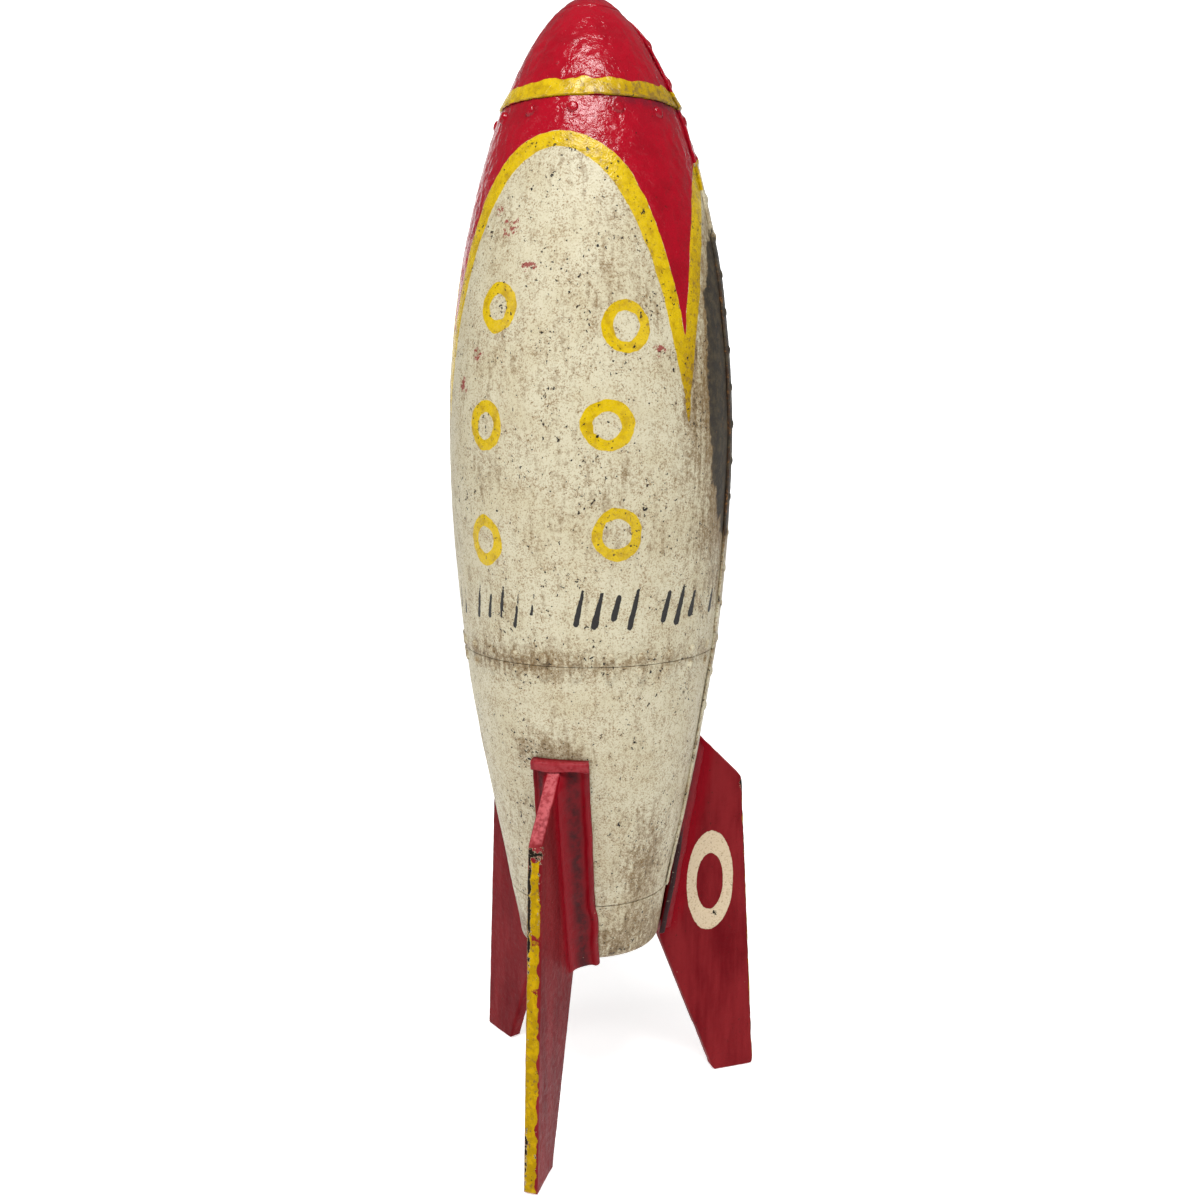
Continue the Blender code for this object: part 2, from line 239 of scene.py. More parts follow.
def arch_distance(azimuth, z, arch):
    """Distance above an arched panel edge, measured square to the edge."""
    top, foot, share, power, stretch = arch

    def height(angle):
        t = np.abs(folded(angle)) / stretch
        return foot + (top - foot) * (1.0 - share * t**2 - (1.0 - share) * t**power)

    step = 0.4
    per_mm = np.degrees(1.0) / np.maximum(hull_radius(z), 5.0)
    slope = (height(azimuth + step) - height(azimuth - step)) / (2 * step) * per_mm
    return (z - height(azimuth)) / np.hypot(1.0, slope)


def across(azimuth, centre, z):
    """Distance round the hull from an azimuth, in millimetres."""
    away = (azimuth - centre + 180.0) % 360.0 - 180.0
    return np.radians(away) * hull_radius(z)


def bell(value, middle, spread):
    """A bell-shaped ridge: 1 at its middle, falling away over a spread."""
    return np.exp(-(((value - middle) / spread) ** 2))


def spot(a, b, wide, tall):
    """A soft spot round zero: 1 in its middle and 0 well outside it."""
    return np.exp(-((a / wide) ** 2) - (b / tall) ** 2)


def blob(azimuth, z, centre, height, width, tall):
    """A soft spot on the hull."""
    return spot(across(azimuth, centre, z), z - height, width, tall)


def ring_distance(azimuth, z, wobble):
    """Painted porthole rings on all three panels."""
    best = np.full(np.shape(z), -99.0)
    beside = SIDE_PANEL_CENTRE + SIDE_RING_SHIFT
    for panel, spread in ((0.0, 1.0), (beside, SIDE_RING_SPREAD), (-beside, SIDE_RING_SPREAD)):
        for angle, height, wide, tall in PORTHOLES:
            x = across(azimuth, panel + spread * angle, z) / wide
            y = (z - height) / tall
            mean = (wide + tall) / 2
            off = np.abs((np.hypot(x, y) - 1.0) * mean + RING_STROKE / 2)
            best = np.maximum(best, RING_STROKE / 2 - off)
    return best + 0.8 * wobble


def tick_distance(azimuth, z, wobble):
    """Groups of plain slanted brush ticks round the front of the barrel."""
    best = np.full(np.shape(z), -99.0)
    for first, count, stroke in TICK_GROUPS:
        for number in range(count):
            x = across(azimuth, first + TICK_PITCH * number, z)
            y = z - TICK_HEIGHT - 1.4 * math.sin(3.1 * number + first)
            half = 7.4 + 2.2 * math.sin(2.3 * number + first)
            along = np.clip(TICK_SLANT * x + y, -half, half)
            off = np.hypot(x - TICK_SLANT * along, y - along)
            best = np.maximum(best, stroke / 2 * (1.0 - 0.25 * along / half) - off)
    return best + 0.35 * wobble


def spots(azimuth, z, places):
    """Soft spots of several strengths, added up."""
    return sum(place[4] * blob(azimuth, z, *place[:4]) for place in places)


def grime_field(points, azimuth, z):
    """Dirt along the round seams, low on the tail, by the worn patch and above the shoes."""
    behind = smooth(180.0 - np.abs(azimuth), 5.0, 70.0)
    seam_dirt = 0.55 + 0.25 * smooth(-azimuth, -10.0, 30.0)
    grime = seam_dirt * bell(z, MID_SEAM + 1.0, 7.0)
    grime = grime + 1.2 * (1.0 - smooth(z, HULL_BOTTOM + 2.0, 128.0))
    grime = grime + 0.4 * (1.0 - smooth(z, HULL_BOTTOM, 190.0))
    beside_patch = smooth(azimuth, 50.0, 78.0) * smooth(z, 270.0, 330.0) * smooth(500.0 - z, 0.0, 60.0)
    grime = grime + 0.75 * behind * beside_patch
    grime = grime + behind * (0.1 * smooth(azimuth, 30.0, 70.0) + 0.2 * smooth(-azimuth, 50.0, 90.0))
    grime = grime + 0.5 * np.clip(noise(points, 30.0, 16) - 0.1, 0.0, 1.0)
    cap_dirt = 0.5 + 0.5 * behind * smooth(azimuth, -20.0, 60.0)
    grime = grime + 0.6 * bell(z, CAP_SEAM + 2.0, 5.0) * cap_dirt
    return np.clip(grime + spots(azimuth, z, GRIME_SPOTS), 0.0, 1.0)


def rust_field(azimuth, z, wobble):
    """Rust in two spots and along the torn laps of the side seams."""
    seams = [np.abs(across(azimuth, side * SEAM_AZIMUTH, z)) for side in (1, -1)]
    torn = 0.1 + 0.6 * smooth(z, 150.0, 220.0) * smooth(500.0 - z, 0.0, 60.0)
    return spots(azimuth, z, RUST_SPOTS) + bell(np.minimum(*seams), 0.8 * wobble, 1.5) * torn


def chips_and_shadow_field(azimuth, z):
    """Pitted places under the band and in some spots, and a painted shadow line on the hull along the left
    edge of each shoe.
    """
    places = [2.6 * bell(z, BAND[0] + 1.0, 2.6) * smooth(azimuth, 15.0, 60.0)]
    places += [blob(azimuth, z, centre, height, size * 0.7, size) for centre, height, size in CHIPS]
    # Painted shadow: a near-black line along the left edge of each shoe, where the shoe stands off the hull.
    for centre in FIN_AZIMUTHS.values():
        gap_shadow = bell(across(azimuth, centre, z), -SHOE_SIDES[0] - 0.4, 1.3)
        places.append(12.0 * gap_shadow * smooth(z, HULL_BOTTOM, 90.0) * smooth(172.0 - z, 0.0, 40.0))
    return np.maximum.reduce(places)


def paint_fields(points):
    """Every painted or worn zone of the hull, and the painted shadow beside each shoe, at some points round
    its axis.
    """
    azimuth = azimuth_of(points)
    z = points[..., 2]
    wobble = noise(points, 9.0, 11) + 0.5 * noise(points, 3.2, 12)
    red_edge = arch_distance(azimuth, z, RED_ARCH) + 0.5 * wobble
    cream_edge = arch_distance(azimuth, z, CREAM_ARCH) + 0.5 * noise(points, 8.0, 13)
    band = np.minimum(z - BAND[0] + 0.5 * wobble, BAND[1] - z + 1.3 * noise(points, 5.0, 17))
    stripe = np.minimum(cream_edge, -red_edge)
    worn = np.hypot(across(azimuth, BARE_PLACE[0], z) / BARE_SIZE[0], (z - BARE_PLACE[1]) / BARE_SIZE[1])
    return {
        "red": red_edge,
        "yellow": np.maximum(np.maximum(stripe, band), ring_distance(azimuth, z, wobble)),
        "dash": tick_distance(azimuth, z, wobble),
        "bare": (1.0 - worn) * 24.0 + 1.8 * noise(points, 7.0, 14) + 0.9 * noise(points, 2.6, 15),
        "grime": grime_field(points, azimuth, z),
        "rust": rust_field(azimuth, z, wobble),
        "scuff": np.maximum.reduce([blob(azimuth, z, a, b, size, size * 0.8) for a, b, size in SCUFFS]),
        "chips_and_shadow": chips_and_shadow_field(azimuth, z),
    }


def hull_relief(points, fields):
    """Hammered dents everywhere, and wrinkled thick enamel where the paint is red."""
    dents = 0.42 * noise(points, 46.0, 1) + 0.22 * noise(points, 19.0, 2)
    red = smooth(fields["red"], -0.6, 0.6)
    folds = 1.0 - 2.0 * np.abs(noise(points + 1.4 * noise(points, 6.0, 3)[..., None], 4.6, 4))
    wrinkles = 0.20 * folds + 0.20 * noise(points, 2.9, 5)
    grain = 0.07 * noise(points, 2.9, 6)
    stroke = 0.14 * smooth(fields["yellow"], -0.3, 0.5)
    return dents + red * wrinkles + (1.0 - red) * grain + stroke


# --- Mesh building ---


def new_piece(name, points, faces, fields):
    """A smooth-shaded mesh object from points round the hull axis, in millimetres."""
    mesh = bpy.data.meshes.new(name)
    mesh.from_pydata(((points + AXIS) * MM).tolist(), [], faces)
    mesh.validate()
    for key, values in fields.items():
        layer = mesh.attributes.new(key, "FLOAT", "POINT")
        layer.data.foreach_set("value", np.asarray(values, dtype=np.float32).ravel())
    mesh.shade_smooth()
    piece = bpy.data.objects.new(name, mesh)
    bpy.context.collection.objects.link(piece)
    return piece


def settle(piece, material, slot, *nodes):
    """Finish a piece: material, body and the nodes it stands for; the slot is not used."""
    piece.data.materials.append(material)
    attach(piece, "root")
    if nodes:
        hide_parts(*nodes)
    return piece


def edged(start, stop, count, edge, inset):
    """Even positions between two insets, with extra ones close to both ends."""
    edge = np.array(edge)
    inner = np.linspace(start + inset, stop - inset, count)
    return np.concatenate([start + edge, inner, stop - edge[::-1]])


def graded(start, stop, pitch, edge=(0.0, 0.12, 0.35, 0.8)):
    """Positions at an even pitch, with extra ones close to both ends."""
    return edged(start, stop, max(int(round((stop - start) / pitch)), 4), edge, 1.6)


def numbered(rows, cols, start=0):
    """Point numbers of a grid."""
    return start + np.arange(rows * cols).reshape(rows, cols)


def grid_faces(index):
    """Quads between the rows and columns of a grid of point numbers."""
    quads = np.stack([index[:-1, :-1], index[:-1, 1:], index[1:, 1:], index[1:, :-1]], axis=-1)
    return quads.reshape(-1, 4).tolist()


def loop_faces(index):
    """Quads between rows of point numbers, each row closed to a loop."""
    return grid_faces(np.concatenate([index, index[:, :1]], axis=1))


def end_fan(centre, loop, flip):
    """Triangles from one point to a closed loop."""
    turned = np.roll(loop, -1)
    first, second = (turned, loop) if flip else (loop, turned)
    return [[centre, a, b] for a, b in zip(first.tolist(), second.tolist())]


def rolled(distance, radius):
    """How far a rounded rim falls back at a distance from its edge."""
    part = np.clip(1.0 - distance / radius, 0.0, 1.0)
    return radius * (1.0 - np.sqrt(1.0 - part**2))


def sheet_faces(rows, cols, keep_rows, keep_cols):
    """Faces of a closed sheet: a fine outer grid, a coarse inner one and four rims."""
    index = numbered(rows, cols)
    inner = numbered(len(keep_rows), len(keep_cols), rows * cols)
    faces = grid_faces(index) + grid_faces(inner.T)
    for a, b, i in zip(keep_cols, keep_cols[1:], range(len(keep_cols))):
        faces.append(index[0, a:b + 1][::-1].tolist() + [inner[0, i], inner[0, i + 1]])
        faces.append(index[-1, a:b + 1].tolist() + [inner[-1, i + 1], inner[-1, i]])
    for a, b, i in zip(keep_rows, keep_rows[1:], range(len(keep_rows))):
        faces.append(index[a:b + 1, 0].tolist() + [inner[i + 1, 0], inner[i, 0]])
        faces.append(index[a:b + 1, -1][::-1].tolist() + [inner[i, -1], inner[i + 1, -1]])
    return faces


def thinned(count, step):
    """Every so many indices, always with the first and the last."""
    return list(range(0, count - 1, step)) + [count - 1]


def hull_sheet(name, heights, azimuths, rise, rims):
    """A curved half sheet with relief, rolled rims and a plain inner side."""
    z, azimuth = np.meshgrid(heights, azimuths, indexing="ij")
    plain = hull_points(azimuth, z, 0.0)
    fields = paint_fields(plain)
    depth = rise(azimuth, z) + hull_relief(plain, fields)
    from_side = np.minimum(azimuth - azimuths[0], azimuths[-1] - azimuth)
    depth = depth - rolled(z - heights[0], rims[0]) - rolled(heights[-1] - z, rims[1])
    depth = depth - rolled(np.radians(from_side) * hull_radius(z), SIDE_RIM)
    outer = hull_points(azimuth, z, depth)
    keep_rows = thinned(len(heights), 9)
    keep_cols = thinned(len(azimuths), 6)
    pick = np.ix_(keep_rows, keep_cols)
    inner = hull_points(azimuth[pick], z[pick], rise(azimuth[pick], z[pick]) - SHEET - LAP_PRESS)
    points = np.concatenate([outer.reshape(-1, 3), inner.reshape(-1, 3)])
    fields = paint_fields(points)
    faces = sheet_faces(len(heights), len(azimuths), keep_rows, keep_cols)
    return new_piece(name, points, faces, fields)


def settling(z):
    """Laps die away just under the nose tip."""
    return smooth(TIP_SEAM - z, 0.0, 14.0)


def seam_rivets(azimuth, z):
    """Painted-over rivet bumps just behind both lapped edges."""
    bumps = 0.0
    for number in range(SEAM_RIVETS):
        height = SEAM_RIVET_TOP - SEAM_RIVET_PITCH * number
        for centre in (SEAM_AZIMUTH, 360.0 - SEAM_AZIMUTH):
            inward = math.copysign(SEAM_RIVET_INSET, 180.0 - centre)
            away = np.hypot(across(azimuth, centre, z) - inward, z - height)
            bumps = bumps + SEAM_RIVET_HEIGHT * smooth(-away, -3.1, -0.9)
    return bumps


def azimuth_grid(start, stop):
    """Azimuths of a half sheet, with extra columns close to both vertical edges."""
    return edged(start, stop, SHEET_COLUMNS, (0.0, 0.12, 0.3, 0.65), 1.3)


def half_sheets(stem, heights, proud, rims):
    """Front sheet and rear sheet: the rear one laps over the front at both seams."""
    reach = SEAM_AZIMUTH + LAP_DEGREES

    def plain(azimuth, z):
        return proud * np.exp(-(z - CAP_SEAM) / 7.0) + 0.0 * azimuth

    def joggled(azimuth, z):
        from_edge = np.minimum(azimuth - SEAM_AZIMUTH, 360.0 - SEAM_AZIMUTH - azimuth)
        lap = LAP_RISE * (1.0 - smooth(from_edge, LAP_DEGREES, 2 * LAP_DEGREES))
        return plain(azimuth, z) + lap * settling(z) + seam_rivets(azimuth, z)

    front = hull_sheet(stem + "_front_skin", heights, azimuth_grid(-reach, reach), plain, rims)
    behind = azimuth_grid(SEAM_AZIMUTH, 360.0 - SEAM_AZIMUTH)
    rear = hull_sheet(stem + "_rear_skin", heights, behind, joggled, rims)
    return front, rear


def spun(name, profile, columns):
    """A closed solid of revolution from (radius, height) points, with hull relief."""
    radius, height = np.array(profile[1:-1]).T
    angle = np.linspace(0.0, 360.0, columns, endpoint=False)
    azimuth, r = np.meshgrid(angle, radius)
    ring = np.radians(azimuth)
    z = np.repeat(height[:, None], columns, axis=1)
    points = np.stack([r * np.sin(ring), -r * np.cos(ring), z], axis=-1)
    fields = paint_fields(points)
    bump = hull_relief(points, fields) * np.minimum(r / 14.0, 1.0)
    on_hull = np.abs(r - hull_radius(z)) < 0.01
    away = np.stack([np.sin(ring), -np.cos(ring), 0.0 * z], axis=-1)
    along = hull_points(azimuth, z, bump)
    points = np.where(on_hull[..., None], along, points + away * bump[..., None])
    flat = np.concatenate([points.reshape(-1, 3), [[0, 0, profile[0][1]], [0, 0, profile[-1][1]]]])
    index = numbered(len(radius), columns)
    faces = loop_faces(index)
    faces += end_fan(len(flat) - 2, index[0], True) + end_fan(len(flat) - 1, index[-1], False)
    return new_piece(name, flat, faces, paint_fields(flat))


def rivet_points(azimuth, z, depth, radius, height, seed):
    """Grid of a soft domed rivet head with a paint fillet round its foot."""
    spokes = 20
    rings = np.array([1.3, 1.12, 1.02, 0.95, 0.84, 0.65, 0.42, 0.18])
    lift = np.array([-0.35, -0.02, 0.24, 0.48, 0.74, 0.91, 0.98, 1.0]) * height
    angle = np.linspace(0.0, 2 * math.pi, spokes, endpoint=False)
    ring, turnby = np.meshgrid(rings * radius, angle, indexing="ij")
    up = np.repeat(lift[:, None], spokes, axis=1)
    side = ring * np.cos(turnby)
    tall = ring * np.sin(turnby)
    local = hull_radius(z)
    spot_z = z + tall
    spot_azimuth = azimuth + np.degrees(side / local)
    lumps = 0.12 * noise(hull_points(spot_azimuth, spot_z, up), 2.4, seed)
    body = hull_points(spot_azimuth, spot_z, depth + up + lumps)
    cap = hull_points(np.array(azimuth), np.array(float(z)), np.array(depth + height * 1.02))
    return np.concatenate([body.reshape(-1, 3), cap[None]]), spokes, len(rings)


def rivet_faces(spokes, rings, start):
    """Faces of one rivet head, closed underneath."""
    index = numbered(rings, spokes, start)
    faces = loop_faces(index) + end_fan(start + spokes * rings, index[-1], False)
    faces.append(index[0][::-1].tolist())
    return faces


def rivets(name, places, depth, radius, height, extra=None):
    """Several rivet heads in one piece, optionally with a hoop that carries them."""
    clouds, faces, start = [], [], 0
    for number, (azimuth, z) in enumerate(places):
        cloud, spokes, rings = rivet_points(azimuth, z, depth, radius, height, 40 + number)
        faces += rivet_faces(spokes, rings, start)
        clouds.append(cloud)
        start += len(cloud)
    if extra is not None:
        clouds.append(extra[0])
        faces += [[start + i for i in face] for face in extra[1]]
    points = np.concatenate(clouds)
    return new_piece(name, points, faces, paint_fields(points))


def hoop_mesh(low, high, depth, thickness):
    """Points and faces of a plain hoop inside the hull wall."""
    angle = np.linspace(0.0, 360.0, HOOP_COLUMNS, endpoint=False)
    loops = []
    for z, inset in ((low, 0.0), (high, 0.0), (high, thickness), (low, thickness)):
        loops.append(hull_points(angle, np.full(HOOP_COLUMNS, z), np.full(HOOP_COLUMNS, depth - inset)))
    index = numbered(len(loops), HOOP_COLUMNS)
    return np.concatenate(loops), loop_faces(np.concatenate([index, index[:1]]))


# --- Node materials ---


class Nodes:
    """Adds shader nodes to one material. Places and depths are in millimetres."""

    def __init__(self, name):
        self.material = bpy.data.materials.new(name)
        self.material.use_nodes = True
        self.tree = self.material.node_tree
        self.shader = self.tree.nodes["Principled BSDF"]
        coordinates = self.tree.nodes.new("ShaderNodeTexCoord")
        self.place = self.stretched(coordinates.outputs["Object"], (1000.0, 1000.0, 1000.0))

    def put(self, socket, value):
        """Link a socket to an input, or set the input to a constant."""
        if isinstance(value, bpy.types.NodeSocket):
            self.tree.links.new(value, socket)
        elif isinstance(value, tuple) and len(value) == 3 and socket.type == "RGBA":
            socket.default_value = (*value, 1.0)
        else:
            socket.default_value = value

    def make(self, kind, **inputs):
        """A new node, with inputs named as in Blender but with _ for a space."""
        node = self.tree.nodes.new("ShaderNode" + kind)
        for key, value in inputs.items():
            self.put(node.inputs[key.replace("_", " ")], value)
        return node

    def stretched(self, vector, scale):
        return self.make("Mapping", Vector=vector, Scale=scale).outputs["Vector"]

    def field(self, name):
        node = self.make("Attribute")
        node.attribute_name = name
        return node.outputs["Fac"]

    def noise(self, size, detail=2.0, rough=0.5, vector=None, distortion=0.0):
        """Noise from 0 to 1, with features of a size in millimetres."""
        place = vector or self.place
        amounts = {"Detail": detail, "Roughness": rough, "Distortion": distortion}
        return self.make("TexNoise", Vector=place, Scale=1.0 / size, **amounts).outputs[0]

    def math(self, operation, a, b):
        node = self.make("Math")
        node.operation = operation
        self.put(node.inputs[0], a)
        self.put(node.inputs[1], b)
        return node.outputs[0]

    def add(self, a, b):
        return self.math("ADD", a, b)

    def less(self, a, b):
        return self.math("SUBTRACT", a, b)

    def times(self, a, b):
        return self.math("MULTIPLY", a, b)

    def centred(self, value, gain):
        """Noise moved so that its middle is 0, and scaled."""
        return self.times(self.less(value, 0.5), gain)

    def step(self, value, low, high, start=0.0, end=1.0):
        """A smooth step from start to end while the value goes from low to high."""
        ends = {"From_Min": low, "From_Max": high, "To_Min": start, "To_Max": end}
        node = self.make("MapRange", Value=value, **ends)
        node.interpolation_type = "SMOOTHSTEP"
        return node.outputs["Result"]

    def mix(self, share, first, second):
        """Blend two colours."""
        node = self.make("Mix")
        node.data_type = "RGBA"
        self.put(node.inputs[0], share)
        self.put(node.inputs[6], first)
        self.put(node.inputs[7], second)
        return node.outputs[2]

    def blend(self, share, first, second):
        """Blend two plain values."""
        node = self.make("Mix")
        node.data_type = "FLOAT"
        self.put(node.inputs[0], share)
        self.put(node.inputs[2], first)
        self.put(node.inputs[3], second)
        return node.outputs[0]

    def layer(self, under, over, value, low, high, amount=1.0):
        """One colour over another where a value goes from low to high."""
        return self.mix(self.step(value, low, high, 0.0, amount), under, over)

    def inside(self, name, ragged, soft):
        """1 inside a painted edge and 0 outside it, with the edge made ragged."""
        return self.step(self.add(self.field(name), ragged), -soft, soft)

    def bump(self, height, depth, before=None):
        """A normal roughened by a height, at a depth in millimetres."""
        node = self.make("Bump", Strength=1.0, Distance=depth * MM, Height=height)
        if before is not None:
            self.put(node.inputs["Normal"], before)
        return node.outputs["Normal"]

    def finish(self, colour, roughness, normal, metallic=0.0, specular=0.5):
        """Feed the material's own shader and hand the material back."""
        inputs = self.shader.inputs
        self.put(inputs["Base Color"], colour)
        self.put(inputs["Roughness"], roughness)
        self.put(inputs["Metallic"], metallic)
        self.put(inputs["Normal"], normal)
        inputs["Specular IOR Level"].default_value = specular
        return self.material


CREAM = (0.485, 0.448, 0.322)
CREAM_DULL = (0.43, 0.38, 0.25)
SPECKLE = (0.185, 0.108, 0.038)
# Near-black of pitting, also used for the painted shadow beside the shoes.
PIT_AND_SHADOW = (0.012, 0.008, 0.005)
GRIME = (0.135, 0.076, 0.022)
CRIMSON = (0.28, 0.0012, 0.0095)
CRIMSON_DEEP = (0.185, 0.001, 0.006)
YELLOW = (0.49, 0.335, 0.0008)
YELLOW_THIN = (0.30, 0.18, 0.0005)
BARE_TIN = (0.026, 0.021, 0.015)
BARE_WORN = (0.060, 0.046, 0.026)
EDGE_YELLOW = (0.42, 0.26, 0.001)
RUST = (0.24, 0.105, 0.022)
UMBER = (0.045, 0.028, 0.012)
DARK_RUST = (0.040, 0.020, 0.010)
DUSKY_RED = (0.115, 0.006, 0.014)
INK = (0.008, 0.007, 0.008)
FIN_RED = (0.105, 0.0018, 0.0045)
# Deeper crimson of the painted shade near the hull.
CRIMSON_ROOT_SHADE = (0.19, 0.001, 0.006)
FIN_ROSE = (0.18, 0.011, 0.014)
# Near-black red of the painted shade in the shoe hollows and the right shoe's painted shadow line.
TROUGH_SHADE = (0.022, 0.004, 0.005)
# Pink of the painted highlight on the fins' top edges and the shoes' shelves.
ROSY_HIGHLIGHT = (0.42, 0.085, 0.095)
MARK_CREAM = (0.52, 0.42, 0.29)
CHIPPED_EDGE = (0.42, 0.36, 0.25)
STEEL = (0.36, 0.35, 0.33)
STEEL_DARK = (0.22, 0.21, 0.19)
STAGE_GREY = (0.92, 0.92, 0.92)
STAGE_WHITE = (0.95, 0.95, 0.95)
HULL_SPECULAR = 0.26
FIN_SPECULAR = 0.035
SHOE_SPECULAR = 0.11


def hull_paint():
    """Hand-painted tin: cream, crimson and yellow enamel with pitting, grime, a bare patch and a painted
    shadow line beside each shoe.
    """
    n = Nodes("hull_paint")
    fine = n.noise(0.9, 4.0, 0.7)
    middle = n.noise(3.0, 3.0, 0.6)
    broad = n.noise(22.0, 3.0, 0.55)
    streaks = n.noise(3.0, 3.0, 0.6, n.stretched(n.place, (1.0, 1.0, 0.16)))
    grime = n.field("grime")
    ragged = n.centred(middle, 0.9)

    cream = n.layer(CREAM, CREAM_DULL, broad, 0.35, 0.75, 0.8)
    patchy = n.noise(8.0, 4.0, 0.65)
    speckled = n.add(fine, n.centred(patchy, 0.35))
    cream = n.layer(cream, SPECKLE, speckled, 0.47, 0.68, 0.8)
    dirt = n.add(n.times(streaks, 0.40), n.times(n.noise(2.4, 5.0, 0.8), 0.62))
    dirt = n.add(dirt, n.times(grime, 0.16))
    cream = n.layer(cream, GRIME, dirt, 0.52, 0.72, 0.8)
    cream = n.layer(cream, UMBER, dirt, 0.69, 0.80, 0.85)
    freckle = n.add(n.noise(1.7, 3.0, 0.7), n.times(grime, 0.05))
    cream = n.layer(cream, GRIME, freckle, 0.635, 0.68, 0.85)
    scuffed = n.add(n.times(n.field("scuff"), 0.31), n.noise(3.0, 4.0, 0.7))
    cream = n.layer(cream, CRIMSON_DEEP, scuffed, 0.75, 0.79, 0.85)
    halo = n.add(n.field("bare"), n.times(dirt, 16.0))
    cream = n.layer(cream, GRIME, halo, 2.0, 11.0, 0.7)
    rusty = n.add(n.times(n.field("rust"), 0.35), n.noise(4.0, 4.0, 0.7))
    rusted = n.layer(DARK_RUST, RUST, n.noise(2.6, 4.0, 0.7), 0.45, 0.62)
    cream = n.layer(cream, rusted, rusty, 0.68, 0.92, 0.8)

    red = n.layer(CRIMSON, CRIMSON_DEEP, n.noise(14.0, 3.0, 0.55), 0.38, 0.72, 0.5)
    red = n.layer(red, PIT_AND_SHADOW, n.noise(1.8, 2.0, 0.6), 0.69, 0.74, 0.6)
    dusky = n.times(n.step(grime, 0.25, 0.9), n.step(n.noise(5.0, 4.0, 0.7), 0.35, 0.6, 0.3, 1.0))
    red = n.mix(dusky, red, DUSKY_RED)
    is_red = n.inside("red", ragged, 0.15)
    colour = n.mix(is_red, cream, red)

    yellow = n.layer(YELLOW, YELLOW_THIN, n.noise(5.0, 3.0, 0.6), 0.42, 0.72, 0.8)
    yellow = n.layer(yellow, PIT_AND_SHADOW, n.noise(1.3, 2.0, 0.6), 0.66, 0.71, 0.7)
    yellow = n.layer(yellow, YELLOW_THIN, grime, 0.1, 0.9, 0.85)
    sooty = n.add(n.times(grime, 0.16), n.noise(3.4, 5.0, 0.75))
    yellow = n.layer(yellow, GRIME, sooty, 0.60, 0.70, 0.7)
    is_yellow = n.inside("yellow", ragged, 0.15)
    colour = n.mix(is_yellow, colour, yellow)
    is_ink = n.inside("dash", ragged, 0.12)
    colour = n.mix(n.times(is_ink, 0.985), colour, INK)

    # Near-black pitting, and the painted shadow line beside each shoe.
    pits_and_shadow = n.add(n.noise(2.0, 2.0, 0.6), n.times(n.noise(18.0), 0.26))
    pits_and_shadow = n.add(pits_and_shadow, n.times(n.field("chips_and_shadow"), 0.06))
    is_pit_and_shadow = n.step(n.less(pits_and_shadow, n.times(is_red, 0.10)), 0.805, 0.825)
    colour = n.mix(is_pit_and_shadow, colour, PIT_AND_SHADOW)
    gouged = n.less(n.noise(4.0, 3.0, 0.65), n.times(is_red, 0.10))
    colour = n.layer(colour, DARK_RUST, gouged, 0.70, 0.715, 0.9)

    tin = n.layer(BARE_TIN, BARE_WORN, n.noise(5.0, 4.0, 0.65), 0.4, 0.65)
    tin = n.layer(tin, RUST, n.noise(2.2, 3.0, 0.65), 0.62, 0.72, 0.35)
    crust = n.layer(DARK_RUST, RUST, n.noise(2.6, 4.0, 0.7), 0.52, 0.66)
    tin = n.layer(tin, crust, rusty, 0.62, 0.80, 0.9)
    is_bare = n.inside("bare", n.times(ragged, 4.0), 0.6)
    colour = n.mix(is_bare, colour, tin)

    painted = n.math("MAXIMUM", is_red, is_yellow)
    rough = n.blend(painted, n.step(fine, 0.3, 0.7, 0.40, 0.58), n.step(middle, 0.3, 0.7, 0.14, 0.24))
    rough = n.blend(n.times(is_yellow, 0.2), rough, 0.6)
    rough = n.blend(is_bare, rough, 0.62)
    height = n.times(fine, n.less(1.0, n.times(painted, 0.9)))
    height = n.less(height, n.times(is_pit_and_shadow, 1.2))
    height = n.less(height, n.times(is_bare, 1.5))
    normal = n.bump(height, 0.12)
    normal = n.bump(n.noise(1.9, 2.0, 0.5, None, 0.8), 0.30, normal)
    return n.finish(colour, rough, normal, n.times(is_bare, 0.1), HULL_SPECULAR)


